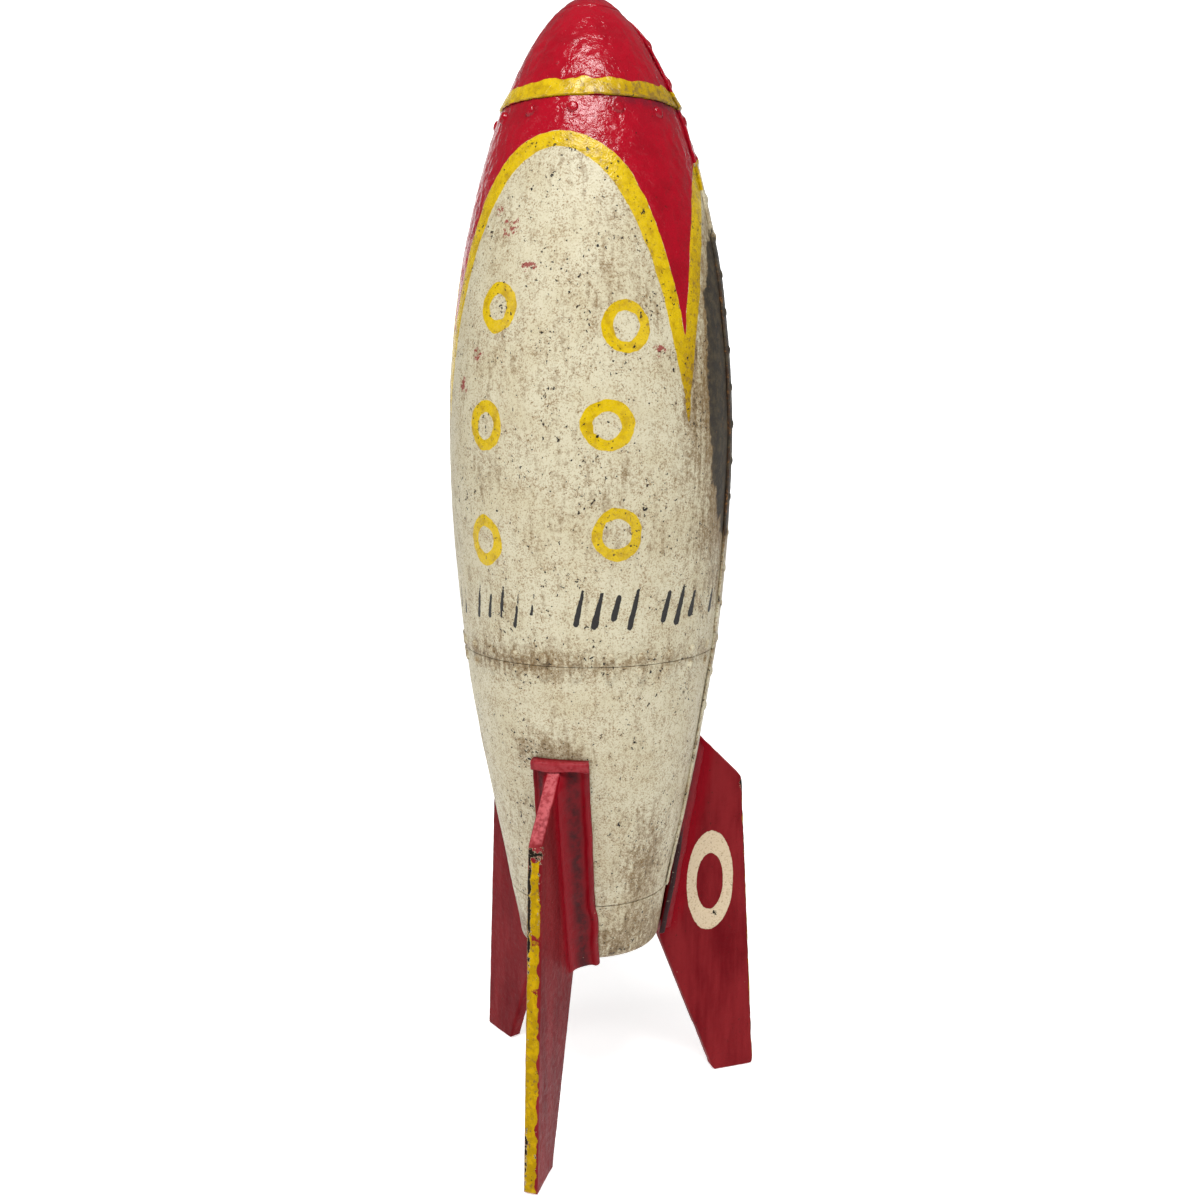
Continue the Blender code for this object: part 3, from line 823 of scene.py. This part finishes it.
def fin_paint(name, light, dark, trough_shade, specular):
    """Brushed crimson enamel with a painted pink highlight along top edges, painted shade near the hull and
    in hollows, a yellow edge and chipped corners.
    """
    n = Nodes(name)
    brushed = n.noise(2.6, 4.0, 0.6, n.stretched(n.place, (1.0, 1.0, 0.07)))
    fine = n.noise(1.1, 3.0, 0.6)
    middle = n.noise(3.2, 3.0, 0.6)
    patches = n.noise(16.0, 3.0, 0.6, n.stretched(n.place, (1.0, 1.0, 0.3)))
    ragged = n.centred(middle, 1.6)
    share = n.add(n.times(patches, 0.75), n.times(brushed, 0.25))
    colour = n.layer(light, dark, share, 0.35, 0.70)
    # Painted shade: deeper crimson near the hull, along the fin's root and over the shoes.
    root_shade = n.add(n.field("root"), n.centred(brushed, 0.8))
    colour = n.layer(colour, CRIMSON_ROOT_SHADE, root_shade, 0.1, 0.8)
    # Painted highlight: mottled pink along the fins' sloped top edges and the shoes' shelves.
    colour = n.mix(n.times(n.field("rosy_highlight"), n.step(n.noise(2.0), 0.35, 0.62, 0.4, 1.0)), colour, ROSY_HIGHLIGHT)
    # Painted shade: mottled near-black red in the shoe hollows and along the right shoe's left margin.
    mottled_shade = n.times(n.field("trough_shade"), n.step(n.noise(5.5, 5.0, 0.7), 0.34, 0.64, 0.5, 1.0))
    colour = n.mix(n.times(mottled_shade, trough_shade), colour, TROUGH_SHADE)
    is_yellow = n.inside("trim", ragged, 0.12)
    yellow = n.layer(EDGE_YELLOW, YELLOW_THIN, middle, 0.36, 0.58)
    yellow = n.layer(yellow, GRIME, n.noise(2.2, 4.0, 0.7), 0.56, 0.66, 0.75)
    colour = n.mix(is_yellow, colour, yellow)
    is_cream = n.inside("mark", n.times(ragged, 0.6), 0.12)
    cream = n.layer(MARK_CREAM, SPECKLE, fine, 0.5, 0.7, 0.5)
    colour = n.mix(is_cream, colour, cream)
    chipped = n.add(n.times(n.field("edge"), 0.18), n.noise(2.6, 4.0, 0.7))
    colour = n.layer(colour, CHIPPED_EDGE, chipped, 0.735, 0.75)
    is_chip = n.step(chipped, 0.76, 0.775)
    colour = n.mix(is_chip, colour, PIT_AND_SHADOW)
    colour = n.layer(colour, PIT_AND_SHADOW, n.noise(1.5, 2.0, 0.6), 0.69, 0.72, 0.8)
    rough = n.step(middle, 0.3, 0.7, 0.36, 0.52)
    height = n.less(brushed, is_chip)
    normal = n.bump(height, 0.10)
    normal = n.bump(n.noise(2.4, 3.0, 0.6, None, 0.5), 0.30, normal)
    return n.finish(colour, rough, normal, 0.0, specular)


def steel():
    """Plain bare steel of the hidden hoops, with mill streaks and light rust."""
    n = Nodes("bare_steel")
    mill = n.noise(1.5, 3.0, 0.6, n.stretched(n.place, (0.2, 0.2, 1.0)))
    colour = n.layer(STEEL, STEEL_DARK, mill, 0.35, 0.7)
    colour = n.layer(colour, RUST, n.noise(6.0, 4.0, 0.65), 0.58, 0.7, 0.7)
    rough = n.step(mill, 0.3, 0.7, 0.35, 0.55)
    return n.finish(colour, rough, n.bump(mill, 0.08), 0.85)


# --- Fins and shoes ---

FOOT_WIDTH = 26.3
SHOULDER_REACH = 92.2
INNER_CORNER = 93.5
STANDOFF = 3.3
TOP_REACH = float(hull_radius(FIN_TOP)) + STANDOFF
CORNER_REACH = float(hull_radius(INNER_CORNER)) + STANDOFF
SHOULDER_Z = FIN_TOP - (SHOULDER_REACH - TOP_REACH)
FIN_CORNERS = (
    (TOP_REACH, FIN_TOP),
    (CORNER_REACH, INNER_CORNER),
    (FIN_REACH - FOOT_WIDTH, 0.0),
    (FIN_REACH, 0.0),
    (SHOULDER_REACH, SHOULDER_Z),
)
RIM = 1.7
MARK_PLACE = (72.6, 120.0)
MARK_SIZE = (11.6, 23.6)
MARK_STROKE = 7.4
FIN_SEEDS = {"front": 50, "right": 60, "left": 70}
SHOE_SEEDS = {"front": 80, "right": 90, "left": 100}
EDGE_STEPS = (0.0, 0.15, 0.4, 0.8, 1.3)
SHOE_BOTTOM = SHOE_LOW[2]
SHOE_TOP = SHOE_HIGH[2]
SHOE_CREST = 11.0
SHOE_EDGE = 2.2
LIP_REACH = 5.2
LIP_LOWERED = 1.8
SPRUNG = 1.6


def outer_reach(z):
    """Reach of a fin's outer edge at a height."""
    return np.interp(z, [0.0, SHOULDER_Z, FIN_TOP], [FIN_REACH, SHOULDER_REACH, TOP_REACH])


def fin_margin(r, z):
    """Distance in from the nearest edge of the fin outline."""
    best = np.full(np.shape(z), 99.0)
    for (r0, z0), (r1, z1) in zip(FIN_CORNERS, FIN_CORNERS[1:] + FIN_CORNERS[:1]):
        length = math.hypot(r1 - r0, z1 - z0)
        best = np.minimum(best, ((r1 - r0) * (z - z0) - (z1 - z0) * (r - r0)) / length)
    return np.clip(best, 0.0, None)


def fin_fields(points, side):
    """Painted and worn zones of one fin, with painted shade near the hull and a painted highlight along the
    sloped top edge, from points with the fin turned to the front.
    """
    r, x, z = -points[..., 1], points[..., 0], points[..., 2]
    inward = outer_reach(z) - r
    wobble = noise(points, 7.0, 21) + 0.6 * noise(points, 2.8, 22)
    trim = np.minimum(0.7 - inward, SHOULDER_Z - 7.0 - z) + 0.5 * wobble
    trim = np.minimum(trim, np.where(x > 0, 2.9 - np.abs(x) + wobble, 9.0))
    edge = np.clip(1.0 - inward / 1.6, 0.0, 1.0) * smooth(np.abs(x), 0.6, 2.6)
    edge = edge * smooth(SHOULDER_Z + 6.0 - z, 0.0, 8.0) * np.where(x < 0, 1.7, 0.8)
    edge = edge * (0.45 + 1.1 * smooth(noise(points, 24.0, 25), -0.15, 0.25))
    edge = np.maximum(edge, 2.0 * spot(r - SHOULDER_REACH, z - SHOULDER_Z + 4.0, 3.0, 3.4))
    mark = np.full(np.shape(z), -9.0)
    if side == "right":
        a, b = r - MARK_PLACE[0], z - MARK_PLACE[1]
        ring = np.hypot(a / MARK_SIZE[0], b / MARK_SIZE[1])
        mark = MARK_STROKE / 2 - np.abs(ring - 1.0) * 14.0 + 0.5 * noise(points, 15.0, 23)
        mark = np.where(x < 0, mark, -9.0)
        edge = np.maximum(edge, 2.0 * (x < 0) * spot(a - 3.0, b + 20.0, 2.2, 3.4))
    # Painted shade along the fin's root near the hull, above its lowest part.
    root = (1.0 - smooth(r - hull_radius(z), 9.0, 24.0)) * smooth(z, 80.0, 110.0)
    # Painted highlight along the sloped top edge.
    rosy_highlight = smooth(z, SHOULDER_Z - 4.0, SHOULDER_Z) * smooth(1.2 - inward, 0.0, 0.8)
    return {"trim": trim, "edge": edge, "mark": mark, "root": root, "rosy_highlight": rosy_highlight, "trough_shade": 0.0 * root}


def fin_piece(side, material):
    """One fin plate: soft uneven faces, rounded rims and a dented outer edge."""
    z = graded(0.0, FIN_TOP, 1.5, EDGE_STEPS)
    inner = np.interp(z, [0.0, INNER_CORNER, FIN_TOP], [FIN_REACH - FOOT_WIDTH, CORNER_REACH, TOP_REACH])
    outer = outer_reach(z) - rolled(z, 4.2) - 0.9 * bell(z, SHOULDER_Z, 2.2)
    inner = inner + rolled(z, 3.0) + 1.2 * bell(z, INNER_CORNER, 3.0)
    width = np.maximum(outer - inner, 0.05)
    step = np.array(EDGE_STEPS)
    share = np.linspace(0.0, 1.0, 32)
    tight = np.minimum(1.0, width / 8.0)[:, None]
    span = (width[:, None] - 3.2 * tight) * share + 1.6 * tight
    r = inner[:, None] + np.concatenate([step * tight, span, width[:, None] - step[::-1] * tight], axis=1)
    zz = np.repeat(z[:, None], r.shape[1], axis=1)
    half = FIN_THICK / 2 - rolled(fin_margin(r, zz), RIM)
    half = np.maximum(half, 0.4)
    lip = np.array([0.75, 0.4, 0.0, -0.4, -0.75])
    outer_rim = (r[:, -1:] + 0.15 * (1 - np.abs(lip)), half[:, -1:] * lip)
    inner_rim = (r[:, :1] + 0.0 * lip, half[:, :1] * -lip)
    rr = np.concatenate([r, outer_rim[0], r[:, ::-1], inner_rim[0]], axis=1)
    xx = np.concatenate([half, outer_rim[1], -half[:, ::-1], inner_rim[1]], axis=1)
    zz = np.repeat(z[:, None], rr.shape[1], axis=1)
    points = np.stack([xx, -rr, zz], axis=-1)
    seed = FIN_SEEDS[side]
    faces_only = np.sign(xx) * smooth(np.abs(xx), 0.5, 2.0)
    sway = 0.35 * noise(points, 38.0, seed)
    lumps = 0.14 * noise(points, 7.0, seed + 1) + 0.07 * noise(points, 2.6, seed + 2)
    points[..., 0] += faces_only * (lumps - 0.1) + 0.4 * sway
    at_rim = np.exp(-fin_margin(rr, zz) / 1.5) * (1.0 - np.exp(-z[:, None] / 2.0))
    dents = np.clip(-noise(points, 9.0, seed + 3) - 0.1, 0.0, None)
    dents = dents + 0.4 * np.clip(noise(points, 3.0, seed + 4), 0.0, None)
    centre = (inner + outer)[:, None] / 2
    points[..., 1] += np.sign(rr - centre) * at_rim * 0.75 * dents
    index = numbered(*zz.shape)
    faces = loop_faces(index)
    faces += capped(index[0].tolist(), r.shape[1], len(lip), True)
    faces += capped(index[-1].tolist(), r.shape[1], len(lip), False)
    fields = fin_fields(points, side)
    piece = new_piece("fin_plate_" + side, turn(points, FIN_AZIMUTHS[side]).reshape(-1, 3), faces, fields)
    return settle(piece, material, "fin_enamel", "fin_" + side)


def capped(loop, span, rim, flip):
    """Quads across one end of a loop made of two long sides and two short rims."""
    right = loop[:span]
    outer = loop[span:span + rim]
    left = loop[span + rim:2 * span + rim][::-1]
    inner = loop[2 * span + rim:]
    faces = [[c, d, b, a] for a, b, c, d in zip(right, right[1:], left, left[1:])]
    faces.append([right[-1]] + outer + [left[-1]])
    faces.append([left[0]] + inner + [right[0]])
    return [face[::-1] for face in faces] if flip else faces


def flank_share(s):
    """Share of the way from the fin's face (0) to the shoe's edge (1)."""
    wall = FIN_THICK / 2
    reach = np.where(s < 0, SHOE_SIDES[0], SHOE_SIDES[1]) - wall
    return np.clip((np.abs(s) - wall) / reach, 0.0, 1.0)


def shoe_height(s, z):
    """Height of a shoe off the hull: concave flanks that climb the fin, and a top lip."""
    share = flank_share(s)
    drop = SHOE_CREST - STANDOFF
    crest = STANDOFF + drop * (1.0 - smooth(z, FIN_TOP - 1.2 * drop, FIN_TOP))
    flank = SHOE_EDGE + (crest - SHOE_EDGE) * (1.0 - np.sqrt(1.0 - (1.0 - share) ** 2))
    rib = 1.5 * bell(share, 0.84, 0.12)
    lip = smooth(z, FIN_TOP - 0.3, FIN_TOP + 0.6)
    return (flank + rib) * (1.0 - lip) + LIP_REACH * lip


def shoe_piece(side, material):
    """One shoe: a dished strip on each side of the fin under a rounded shelf."""
    low = graded(SHOE_BOTTOM, FIN_TOP - 0.6, 1.6)
    lip = np.linspace(FIN_TOP - 0.3, FIN_TOP + 0.6, 4)
    high = np.array([1.2, 1.9, 2.6, 3.3, 4.0, 4.5, 4.85, 5.1, 5.25]) + FIN_TOP
    heights = np.concatenate([low, lip, high, [SHOE_TOP]])
    columns = edged(-SHOE_SIDES[0], SHOE_SIDES[1], 34, (0.0, 0.15, 0.4, 0.8, 1.2), 1.7)
    z, s = np.meshgrid(heights, columns, indexing="ij")
    azimuth = np.degrees(s / hull_radius(z))
    plain = hull_points(azimuth, z, 0.0)
    seed = SHOE_SEEDS[side]
    margin = np.minimum(s + SHOE_SIDES[0], SHOE_SIDES[1] - s)
    shelf = smooth(z, FIN_TOP - 0.5, FIN_TOP + 0.5)
    relief = 0.45 * noise(plain, 9.0, seed) + 0.25 * noise(plain, 4.0, seed + 1)
    lowered = LIP_LOWERED * (side == "right") * shelf
    depth = shoe_height(s, z) - lowered + relief * (1.0 + 0.4 * shelf)
    depth = depth - rolled(margin, 1.2) - rolled(z - SHOE_BOTTOM, 1.4) - rolled(SHOE_TOP - z, 1.6)
    depth = np.maximum(depth, 0.45)
    sway = 1.7 * noise(plain * np.array([0.0, 0.0, 1.0]) + 7.0, 13.0, seed + 2)
    azimuth = azimuth + np.degrees(sway * smooth(np.abs(s), 5.0, 12.0) / hull_radius(z))
    sprung = SPRUNG * smooth(-s, 5.0, 11.0) * smooth(172.0 - z, 0.0, 40.0) * (side == "right")
    lift = 0.9 * noise(plain * np.array([1.0, 1.0, 0.0]) + 3.0, 6.0, seed + 3) * shelf
    outer = hull_points(azimuth, z + lift - 0.3 * shelf, depth + sprung)
    keep_rows, keep_cols = thinned(len(heights), 8), thinned(len(columns), 5)
    pick = np.ix_(keep_rows, keep_cols)
    inner = hull_points(azimuth[pick], z[pick], 0.3 + sprung[pick])
    points = np.concatenate([outer.reshape(-1, 3), inner.reshape(-1, 3)])
    faces = sheet_faces(len(heights), len(columns), keep_rows, keep_cols)
    share = flank_share(s)
    # Painted shade, darkest in the middle of each dished flank.
    trough_shade = np.exp(-np.abs((share - 0.38) / 0.26) ** 3) * (1.0 - shelf)
    # Painted shadow along the right shoe's left margin, where it stands off the hull.
    if side == "right":
        gap_shadow = 1.0 - smooth(s + SHOE_SIDES[0] + 0.8 * sway, 1.2, 2.4)
        trough_shade = np.maximum(trough_shade, 2.6 * gap_shadow * smooth(168.0 - z, 0.0, 30.0))
    fields = {
        "trough_shade": trough_shade,
        "edge": 0.7 * np.clip(1.0 - margin / 1.5, 0.0, 1.0),
        # Painted shade over the shoe, lighter at its margins.
        "root": np.where(margin < 2.5, 0.35, 1.0),
        # Painted highlight along the shelf.
        "rosy_highlight": 0.3 * shelf,
    }
    hidden = np.zeros(pick[0].size * pick[1].size)
    fields = {key: np.concatenate([values.ravel(), hidden]) for key, values in fields.items()}
    fields["trim"] = fields["mark"] = np.full(len(points), -9.0)
    name = "fin_shoe_cover_" + side
    piece = new_piece(name, turn(points, FIN_AZIMUTHS[side]), faces, fields)
    return settle(piece, material, "shoe_enamel", "fin_shoe_" + side)


# --- Assembly ---

RIVET_RADIUS = 2.7
NOSE_RIVET_HEIGHT = 1.7
NOSE_RIVET_DROP = 5.6
MID_RIVET_HEIGHT = 1.2
MID_RIVET_OFFSET = 4.2
HOOP_HALF = 11.0
HOOP_DEPTH = -1.5
HOOP = 1.6
SEAM_GAP = 0.15
DOME_DROP = 9.0
SPIGOT_INSET = 2.4

# Half sheets: lower and upper seam, row pitch, how far proud, rims and record slot.
HALF_SHEETS = {
    "nose_cap": (CAP_SEAM, TIP_SEAM, 1.2, CAP_PROUD, (0.5, 0.05), "nose_enamel"),
    "barrel": (MID_SEAM, CAP_SEAM, 1.3, 0.0, (0.12, 0.02), "hull_enamel"),
    "tail": (PAN_SEAM, MID_SEAM, 1.3, 0.0, (0.15, 0.12), "hull_enamel"),
}


def skin_point(z, inset=0.0):
    """Outline point on the hull, or inside it, at a height."""
    return float(hull_radius(z)) - inset, z


def build_tip(paint):
    """Blunt end of the nose, with a spigot inside the nose cap."""
    heights = TOP - DOME_DROP * np.linspace(0.0, 1.0, 16)[1:] ** 2
    dome = [skin_point(z) for z in heights]
    spigot = skin_point(TIP_SEAM, SPIGOT_INSET)[0]
    lower = [
        (dome[-1][0] - 0.1, TIP_SEAM - 0.12),
        (spigot, TIP_SEAM - 0.2),
        (spigot, TIP_SEAM - 3.0),
        (spigot - 0.4, TIP_SEAM - 5.8),
        (spigot * 0.5, TIP_SEAM - 6.0),
    ]
    tip = spun("nose_tip_skin", [(0.0, TOP)] + dome + lower + [(0.0, TIP_SEAM - 6.0)], 96)
    settle(tip, paint, "nose_enamel", "nose_tip")


def build_sheets(paint):
    """Front and rear sheets of nose cap, barrel and tail."""
    for stem, (low, high, pitch, proud, rims, slot) in HALF_SHEETS.items():
        heights = graded(low + SEAM_GAP, high - SEAM_GAP, pitch)
        front, rear = half_sheets(stem, heights, proud, rims)
        settle(front, paint, slot, stem + "_front")
        settle(rear, paint, slot, stem + "_rear")


def build_pan(paint):
    """Tail pan: flat bottom, rolled corner and a skirt, open at the top."""
    shoulder = HULL_BOTTOM + PAN_CORNER
    wide = skin_point(shoulder)[0]
    floor = HULL_BOTTOM + SHEET
    outline = [(0.0, HULL_BOTTOM)]
    outline += [(r, HULL_BOTTOM) for r in np.linspace(4.0, wide - PAN_CORNER - 1.5, 9)]
    for angle in range(90, -1, -10):
        a = math.radians(angle)
        outline.append((wide - PAN_CORNER * (1 - math.cos(a)), shoulder - PAN_CORNER * math.sin(a)))
    skirt = np.append(np.arange(shoulder + 1.3, PAN_SEAM - 1.2, 1.3), [PAN_SEAM - 0.9, PAN_SEAM - 0.5])
    outline += [skin_point(z) for z in skirt]
    rim = skin_point(PAN_SEAM)[0]
    outline += [(rim - 0.25, PAN_SEAM - SEAM_GAP), (rim - SHEET, PAN_SEAM - SEAM_GAP)]
    outline += [skin_point(z, SHEET) for z in (PAN_SEAM - 9.0, shoulder + 2.0)]
    outline += [(wide - PAN_CORNER, floor + 0.6), (wide / 2, floor), (0.0, floor)]
    settle(spun("tail_pan_skin", outline[::-1], 200), paint, "hull_enamel", "tail_pan")


def build_rivets(paint):
    """Collar rivets one by one, and the middle hoop with its two painted-over rows."""
    for number in range(1, 13):
        node = f"nose_rivet_{number:02d}"
        low, high = box_mm(node)
        azimuth = float(azimuth_of((low + high) / 2 - AXIS))
        place = [(azimuth, CAP_SEAM - NOSE_RIVET_DROP)]
        piece = rivets(f"nose_rivet_head_{number:02d}", place, 0.0, RIVET_RADIUS, NOSE_RIVET_HEIGHT)
        settle(piece, paint, "rivet_enamel", node)
    azimuths = [82.5 - 14.2 * i for i in range(12)] + [110.0 + 14.0 * i for i in range(11)]
    places = [(a, MID_SEAM + side * MID_RIVET_OFFSET) for side in (-1, 1) for a in azimuths]
    hoop = hoop_mesh(MID_SEAM - HOOP_HALF, MID_SEAM + HOOP_HALF, HOOP_DEPTH, HOOP)
    piece = rivets("mid_hoop_rivets", places, -0.05, RIVET_RADIUS, MID_RIVET_HEIGHT, hoop)
    settle(piece, paint, "hoop_enamel", "mid_hoop")


def build_fins():
    """Three fins and their shoes."""
    fin = fin_paint("fin_enamel", FIN_ROSE, FIN_RED, 0.3, FIN_SPECULAR)
    shoe = fin_paint("shoe_enamel", CRIMSON_DEEP, FIN_RED, 0.9, SHOE_SPECULAR)
    for side in FIN_AZIMUTHS:
        fin_piece(side, fin)
        shoe_piece(side, shoe)


# --- Studio and camera ---

CAMERA_AZIMUTH = 17.0
CAMERA_DISTANCE = 0.6864
CAMERA_HEIGHT = 0.4046
CAMERA_PITCH = 9.58
LENS = 38.44
SHIFT = 0.0087
FLOOR = 6.0
FLOOR_GLOW = 0.65
BACKDROP = 5.0
BACKDROP_GLOW = 0.9
WORLD_LIGHT = 0.22
LAMPS = (
    ("lamp_key", (0.22, -0.90, 1.90), (0.85, 0.60), 40.0),
    ("lamp_left", (-1.35, -1.15, 0.9), (0.8, 1.2), 7.0),
    ("lamp_right", (1.6, -0.9, 0.8), (0.8, 1.2), 4.5),
)
STAGE_GRID = 24
BACKDROP_HALF = 0.56
BACKDROP_TOP = 2.4
AIM = Vector((0.0, 0.0, 0.33))


def placed(name, data, place):
    """An object in the scene at a place in metres."""
    item = bpy.data.objects.new(name, data)
    item.location = place
    bpy.context.collection.objects.link(item)
    return item


def stage_sheet(name, points, glow):
    """A grid of stage points as one pale, softly glowing sheet."""
    mesh = bpy.data.meshes.new(name)
    mesh.from_pydata(points.reshape(-1, 3).tolist(), [], grid_faces(numbered(*points.shape[:2]).T))
    mesh.shade_smooth()
    n = Nodes(name)
    grain = n.noise(40.0, 2.0)
    colour = n.mix(grain, STAGE_GREY, STAGE_WHITE)
    n.shader.inputs["Emission Color"].default_value = (1.0, 1.0, 1.0, 1.0)
    n.shader.inputs["Emission Strength"].default_value = glow
    mesh.materials.append(n.finish(colour, n.step(grain, 0.3, 0.7, 0.7, 0.8), n.bump(grain, 0.05), 0.0, 0.1))
    placed(name, mesh, (0.0, 0.0, 0.0))


def build_stage():
    """Pale floor and a curved white backdrop behind the object."""
    side = np.linspace(-FLOOR, FLOOR, STAGE_GRID)
    x, y = np.meshgrid(side, side, indexing="ij")
    stage_sheet("studio_floor", np.stack([x, y, 0.0 * x], axis=-1), FLOOR_GLOW)
    spread = np.linspace(-BACKDROP_HALF, BACKDROP_HALF, STAGE_GRID)
    middle = math.radians(CAMERA_AZIMUTH + 180.0)
    angle, z = np.meshgrid(middle + spread, np.linspace(0.0, BACKDROP_TOP, 8), indexing="ij")
    backdrop = [BACKDROP * np.sin(angle), -BACKDROP * np.cos(angle), z]
    stage_sheet("studio_backdrop", np.stack(backdrop, axis=-1), BACKDROP_GLOW)


def build_lamps():
    """A soft key lamp above, two weak side lamps and a dim white world."""
    world = bpy.data.worlds.new("studio")
    world.use_nodes = True
    background = world.node_tree.nodes["Background"]
    background.inputs["Color"].default_value = (1.0, 1.0, 1.0, 1.0)
    background.inputs["Strength"].default_value = WORLD_LIGHT
    bpy.context.scene.world = world
    for name, place, size, power in LAMPS:
        lamp = bpy.data.lights.new(name, "AREA")
        lamp.shape = "RECTANGLE"
        lamp.size, lamp.size_y = size
        lamp.energy = power
        item = placed(name, lamp, place)
        item.rotation_euler = (AIM - Vector(place)).to_track_quat("-Z", "Y").to_euler()


def build_camera():
    """Camera at the photograph's angle."""
    camera = bpy.data.cameras.new("camera")
    camera.sensor_width = 36.0
    camera.lens = LENS
    camera.shift_x = SHIFT
    turned = math.radians(CAMERA_AZIMUTH)
    x = CAMERA_DISTANCE * math.sin(turned)
    y = AXIS[1] * MM - CAMERA_DISTANCE * math.cos(turned)
    item = placed("camera", camera, (x, y, CAMERA_HEIGHT))
    item.rotation_euler = (math.radians(90.0 - CAMERA_PITCH), 0.0, turned)
    scene = bpy.context.scene
    scene.camera = item
    scene.view_settings.view_transform = "Standard"


paint = hull_paint()
build_tip(paint)
build_sheets(paint)
build_pan(paint)
build_rivets(paint)
build_fins()
bare = steel()
for node in ("nose_collar", "tail_hoop"):
    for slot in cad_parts[node].material_slots:
        slot.material = bare
build_stage()
build_lamps()
build_camera()
